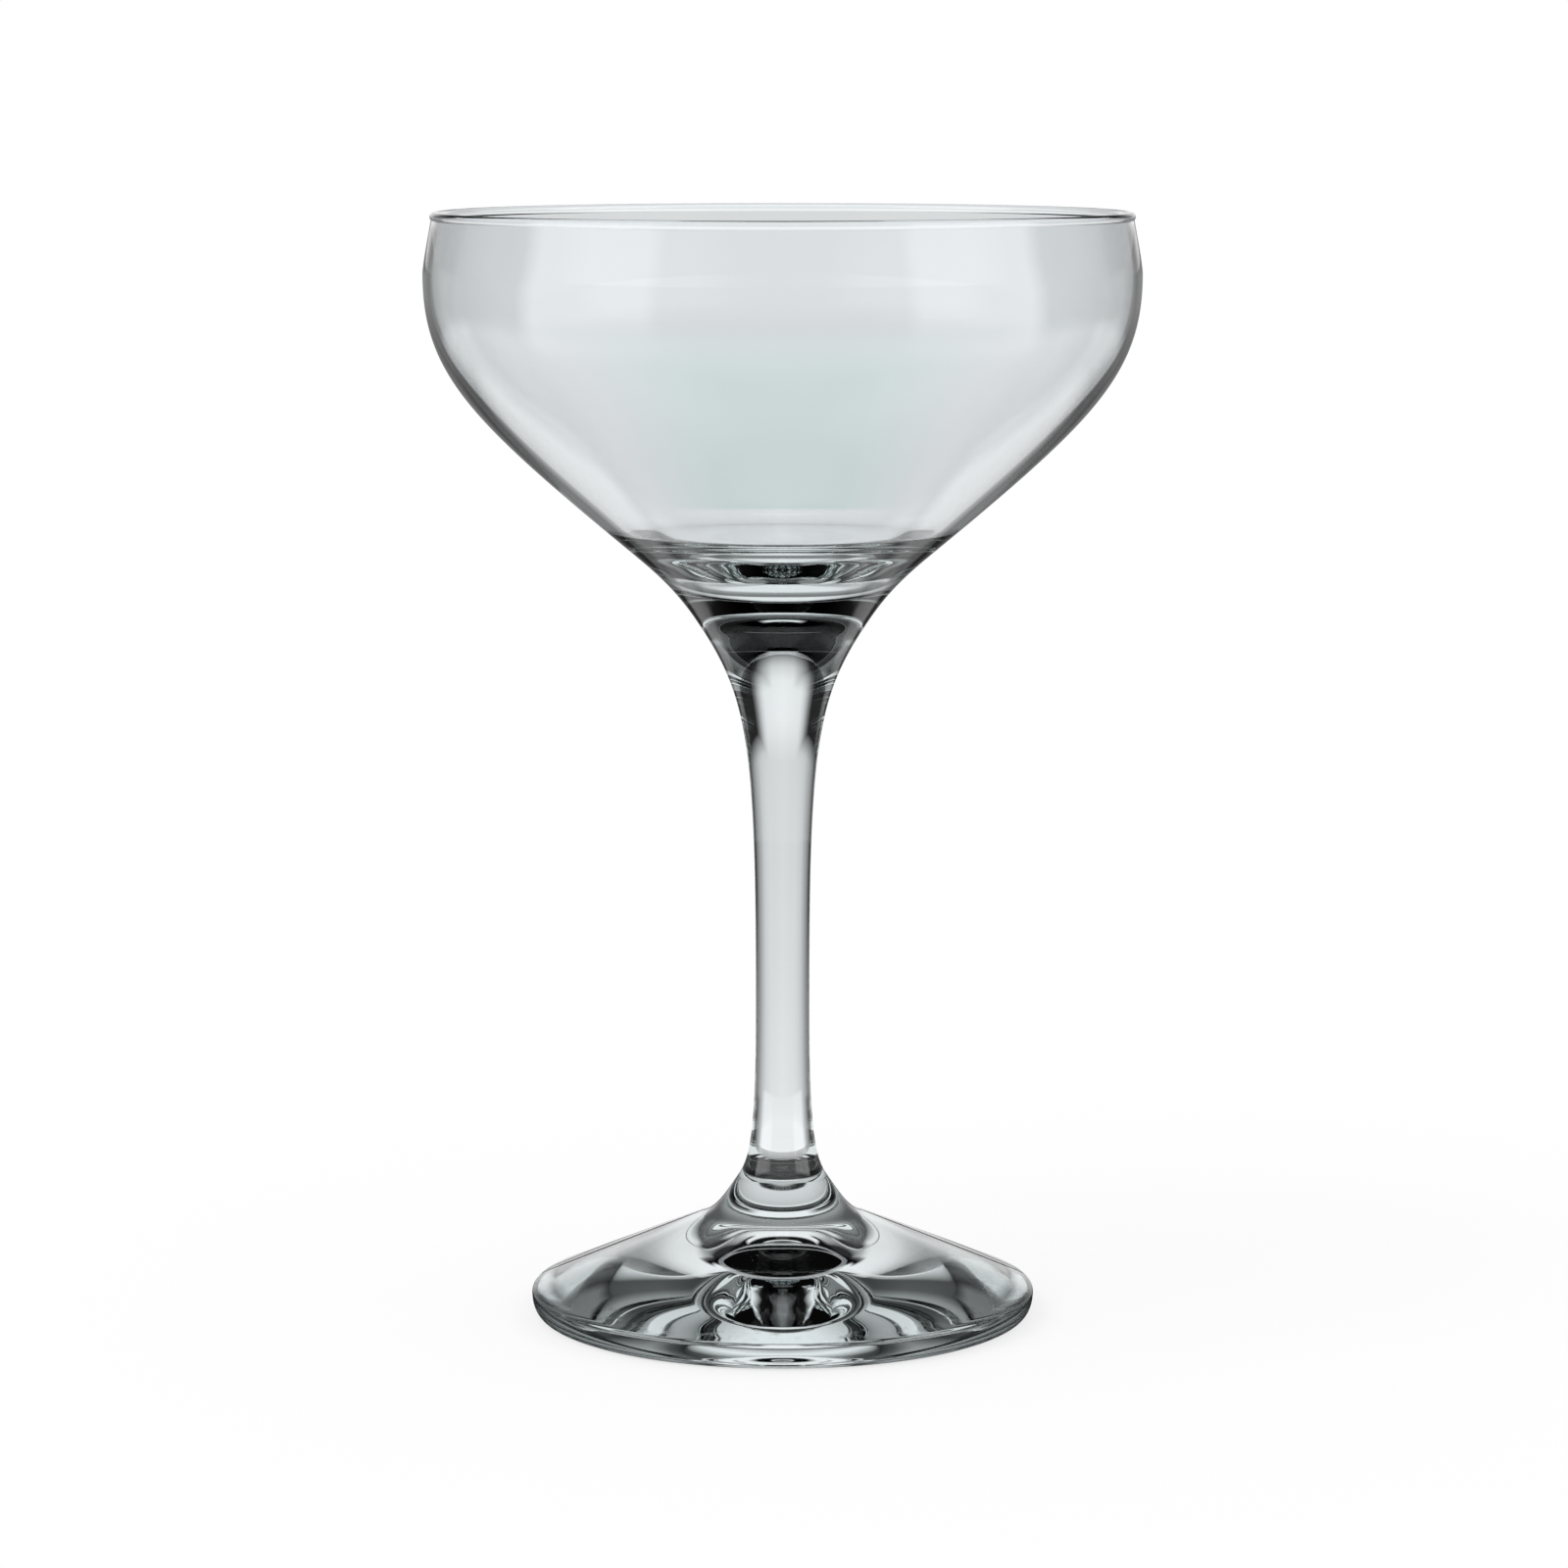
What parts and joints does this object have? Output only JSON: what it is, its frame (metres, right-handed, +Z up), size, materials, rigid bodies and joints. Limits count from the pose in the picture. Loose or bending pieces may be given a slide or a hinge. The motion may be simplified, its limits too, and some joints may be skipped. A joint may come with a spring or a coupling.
{
  "type": "stemmed cocktail glass",
  "caption": "Stemmed cocktail glass: a wide round bowl with a beaded lip, a slender solid stem and a sloping disc foot.",
  "frame": {"origin": "middle of the circle that the foot rests on, at table level", "axes": "+Z up along the glass's axis, from the foot to the lip; the glass is round, so X and Y are alike"},
  "size_m": [0.0982, 0.0982, 0.1534],
  "materials": {
    "bowl_glass": "clear soda-lime glass, thin-walled and fire-polished, with a faint grey-green cast",
    "stem_glass": "clear solid drawn glass, smooth and bright",
    "foot_glass": "clear pressed glass, fire-polished, with fine scuffs on the ring that it rests on"
  },
  "bodies": {
    "root": {"bowl": "bowl_glass", "stem": "stem_glass", "foot": "foot_glass"}
  },
  "joints": []
}
